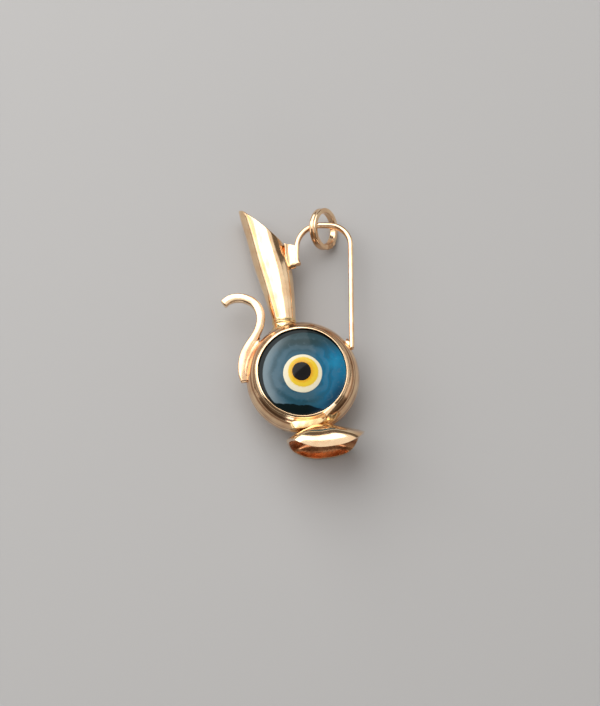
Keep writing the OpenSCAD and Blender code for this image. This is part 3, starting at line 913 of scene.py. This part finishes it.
spout = {
    "bevel": 0.26,
    "stations": [      # x, y, z, width, height
        (-9.15, 8.57, 4.00, 0.98, 0.98), (-8.40, 9.15, 4.00, 1.00, 0.98), (-7.35, 9.37, 4.00, 1.02, 0.98),
        (-6.28, 9.15, 4.00, 1.02, 0.98), (-5.35, 8.50, 4.00, 1.02, 0.98), (-4.88, 7.60, 4.00, 1.02, 0.98),
        (-4.80, 6.66, 4.02, 0.98, 0.98), (-5.05, 5.60, 4.05, 0.96, 0.98), (-5.58, 4.55, 4.08, 0.98, 0.98),
        (-6.16, 3.55, 4.10, 1.10, 0.94), (-6.58, 2.46, 4.10, 1.26, 0.90), (-6.74, 1.36, 4.10, 1.32, 0.88),
        (-6.72, 0.36, 4.08, 1.26, 0.88), (-6.56, -0.62, 4.05, 1.00, 0.80)],
}


def makeSpout():
    piece = wireAlong("spout", spout["stations"], 60, spout["bevel"], 1)
    smoothShade(piece)
    finish(piece, wireGold, "gold", "pitcher")


makeSpout()
print("spout done")

# Foot: two flared panels from one folded sheet, rounded on the left and open at the right tip

foot = {
    "at": (2.5, -6.85), "midZ": 4.42, "turn": 6.6, "wall": 0.36, "bevel": 0.15,
    "w": 8.9, "front": 3.8, "back": 4.4, "reach": 1.85, "rise": 1.55, "rim": 2.7, "rimSkew": 0.5,
    "stemW": 1.9, "stemH": 1.7, "stemShift": -0.6,
    "fold": 1.0,      # how much sharper the left side is folded
    "gap": 0.3, "gapPower": 6, "gapX": 1.6, "gapZ": 0.5,      # between the sheet's edges at the right tip
    "dent": 0.14, "dentX": -0.6, "dentWide": 0.9, "dentAt": 0.45, "dentHigh": 0.14,      # in the front panel
    "sections": [      # from the stem to the rim: shares of width, height, rise and reach, and squareness
        (0.00, 0.00, 1.00, 0.00, 2.2), (0.15, 0.24, 0.78, 0.04, 2.5), (0.32, 0.52, 0.60, 0.10, 3.2),
        (0.54, 0.79, 0.44, 0.25, 4.2), (0.75, 0.95, 0.27, 0.49, 5.5), (0.90, 1.00, 0.13, 0.74, 6.8),
        (1.00, 0.98, 0.00, 1.00, 8.0)],
}


def makeFoot():
    piece = blank("foot", 96, 12)

    def folded(point):
        angle = point.x * 2 * math.pi
        c = math.cos(angle)
        front = math.sin(angle) >= 0
        wide, high, rise, reach, square = between(foot["sections"], point.y * (len(foot["sections"]) - 1))
        halfW = foot["stemW"] / 2 + (foot["w"] - foot["stemW"]) / 2 * wide
        tall = foot["front"] if front else foot["back"]
        halfH = foot["stemH"] / 2 + (tall - foot["stemH"] / 2) * high
        bowed = foot["reach"] * reach * (1 - abs(c) ** (foot["rim"] + foot["rimSkew"] * c))
        if point.y < 0.001:      # the stem's end is closed
            halfW = halfH = 0
        x = foot["stemShift"] * (1 - wide) + halfW * c
        z = (halfH if front else -halfH) * (1 - abs(c) ** (square * (1 + foot["fold"] * max(0, -c))))
        if front:
            near = hill(x - foot["dentX"], foot["dentWide"]) * hill(wide - foot["dentAt"], foot["dentHigh"])
            z -= foot["dent"] * near
        else:
            apart = foot["gap"] * wide * max(0, c) ** foot["gapPower"]
            x -= foot["gapX"] * apart
            z -= foot["gapZ"] * apart
        return (x, foot["rise"] * rise - bowed, z)

    form(piece, folded)
    modify(piece, "WELD", merge_threshold=0.001 * mm)
    for material in (polishedGold, shadedInsideGold):      # the shell's inside takes the second, darker and redder as painted shade
        piece.data.materials.append(material)
    modify(piece, "SOLIDIFY", thickness=foot["wall"] * mm, offset=-1, material_offset=1)
    roundEdges(piece, foot["bevel"], 3, material=0)
    smoothSurface(piece, 1)
    place = Matrix.Translation(Vector((*foot["at"], foot["midZ"])) * mm)
    piece.data.transform(place @ Matrix.Rotation(math.radians(foot["turn"]), 4, "Z"))
    smoothShade(piece, 45)
    finish(piece, None, "gold", "pitcher")


makeFoot()
print("foot done")

# Solder: a ridge over the foot, folds drawn out to it from the bezel, and fillets where the wires are joined

solder = {      # rows of x, y, z, width, height
    "solderRidge": [
        (-1.62, -5.9, 5.3, 0.2, 0.2), (-1.4, -5.84, 5.4, 0.8, 0.6), (-0.95, -5.78, 5.5, 1.0, 0.8),
        (-0.2, -5.74, 5.54, 0.94, 0.8), (0.5, -5.66, 5.58, 0.9, 0.76), (1.3, -5.48, 5.62, 0.86, 0.7),
        (2.0, -5.18, 5.66, 0.7, 0.56), (2.5, -4.9, 5.7, 0.2, 0.2)],
    "spoutSolder": [
        (-4.9, 5.0, 4.1, 0.1, 0.1), (-5.2, 4.25, 4.25, 0.56, 0.56), (-5.62, 3.45, 4.3, 0.7, 0.6),
        (-5.98, 2.6, 4.32, 0.66, 0.62), (-6.2, 1.7, 4.32, 0.56, 0.6), (-6.32, 0.8, 4.3, 0.5, 0.56),
        (-6.34, 0.0, 4.24, 0.4, 0.46), (-6.28, -0.7, 4.1, 0.1, 0.1)],
    "legSolder": [
        (5.1, 4.55, 4.1, 0.16, 0.16), (5.12, 4.25, 4.2, 0.44, 0.5), (5.2, 3.85, 4.28, 0.6, 0.6),
        (5.38, 3.45, 4.28, 0.56, 0.56), (5.62, 3.2, 4.1, 0.16, 0.16)],
}
solderLooks = {"solderRidge": {"material": solderGold, "rough": 0.02},
               "spoutSolder": {"material": bowlGold, "rough": 0.006},
               "legSolder": {"material": bowlGold, "rough": 0.006}}
lumpy = {"scale": 1.6, "more": 2, "moreReach": 0.5}      # and more so at a run's first end


def makeSolder(name):
    rows = solder[name]
    look = solderLooks[name]
    piece = wireAlong(name, rows, 32, 0.1, 2)
    for point in piece.data.vertices:
        near = hill(point.co.x / mm - rows[0][0], lumpy["moreReach"])
        push = look["rough"] * (1 + lumpy["more"] * near) * noise.noise(point.co / mm * lumpy["scale"])
        point.co += point.normal * mm * push
    smoothShade(piece, 180)
    finish(piece, look["material"], "gold", "pitcher")


web = {"corners": [(1.75, -4.98), (4.05, -4.2), (2.1, -5.48), (3.45, -5.3)], "topZ": 6.06, "lowZ": 5.36,
       "curve": 0.7, "sink": 0.45, "folds": 2.1, "fold": 0.06, "foldSlant": 1.6, "deep": 0.6,
       "droop": 0.5, "droopReach": 0.06, "waver": 0.05}      # the edges droop


def makeWeb():
    # solder drawn out in folds from the bezel's lapped end to the foot
    piece = blank("solderWeb", 40, 20)

    def poured(point):
        at = inside(web["corners"], point)
        edge = min(point.x, 1 - point.x, point.y + 0.1, 1.1 - point.y)
        z = web["lowZ"] + (web["topZ"] - web["lowZ"]) * point.y ** web["curve"]
        z -= web["droop"] * math.exp(-edge / web["droopReach"]) + web["sink"] * point.x * point.y
        z += web["fold"] * math.sin(2 * math.pi * web["folds"] * point.x + web["foldSlant"] * point.y)
        return (at.x, at.y, z + web["waver"] * waver(at.x * 1.4, at.y, 5))

    form(piece, poured)
    modify(piece, "SOLIDIFY", thickness=web["deep"] * mm, offset=-1)
    smoothSurface(piece, 1)
    smoothShade(piece, 60)
    finish(piece, solderGold, "gold", "pitcher")


for name in solder:
    makeSolder(name)
makeWeb()
print("solder done")

# Jump ring: flat wire with a groove along one side, and a lump of pitted solder where it closes

ring = {"od": 4.92, "thick": 0.58, "w": 0.86, "soft": 0.12,
        "middle": (2.66, 18.36, 2.249), "lean": 54, "tip": 7,
        "groove": [(0.16, 0.0), (0.06, 0.07), (0.0, 0.07), (-0.1, 0.0)],      # height on the wire, and depth
        "lumpAngle": -51, "lumpReach": 0.42, "lumpHeight": 0.12, "lumpScale": 2.2,
        "grain": 0.03, "grainScale": 7, "pittedReach": 0.46}


def makeRing():
    outer = ring["od"] / 2
    inner = outer - ring["thick"]
    half = ring["w"] / 2
    soft = ring["soft"]
    profile = arc((outer - soft, half - soft), soft, 90, 0, 3)
    profile += [(outer - depth, z) for z, depth in ring["groove"]]
    profile += arc((outer - soft, -half + soft), soft, 0, -90, 3)
    profile += arc((inner + soft, -half + soft), soft, -90, -180, 3)
    profile += arc((inner + soft, half - soft), soft, 180, 90, 3)
    profile += [profile[0]]
    piece = lathe("jumpRing", profile, 144)
    smoothSurface(piece, 1)
    lump = math.radians(ring["lumpAngle"])
    for point in piece.data.vertices:
        turn = math.atan2(point.co.y, point.co.x)
        away = (turn - lump + math.pi) % (2 * math.pi) - math.pi
        near = math.exp(-(away / ring["lumpReach"]) ** 4)
        swell = ring["lumpHeight"] * (0.5 + noise.noise(point.co / mm * ring["lumpScale"]))
        grain = ring["grain"] * noise.noise(point.co / mm * ring["grainScale"])
        point.co += point.normal * mm * near * (swell + grain)
    tip = Matrix.Rotation(math.radians(ring["tip"]), 4, "X")
    lean = Matrix.Rotation(math.radians(ring["lean"]), 4, "Y") @ tip
    middle = Vector(ring["middle"]) * mm
    piece.data.transform(Matrix.Translation(middle) @ lean)
    smoothShade(piece, 60)
    finish(piece, wireGold, "gold", "jump_ring")
    piece.data.materials.append(pittedGold)
    toLump = (lean @ Vector((math.cos(lump), math.sin(lump), 0))).normalized()
    for face in piece.data.polygons:
        if (face.center - middle).normalized().dot(toLump) > math.cos(ring["pittedReach"]):
            face.material_index = 1


makeRing()
print("jump ring done")
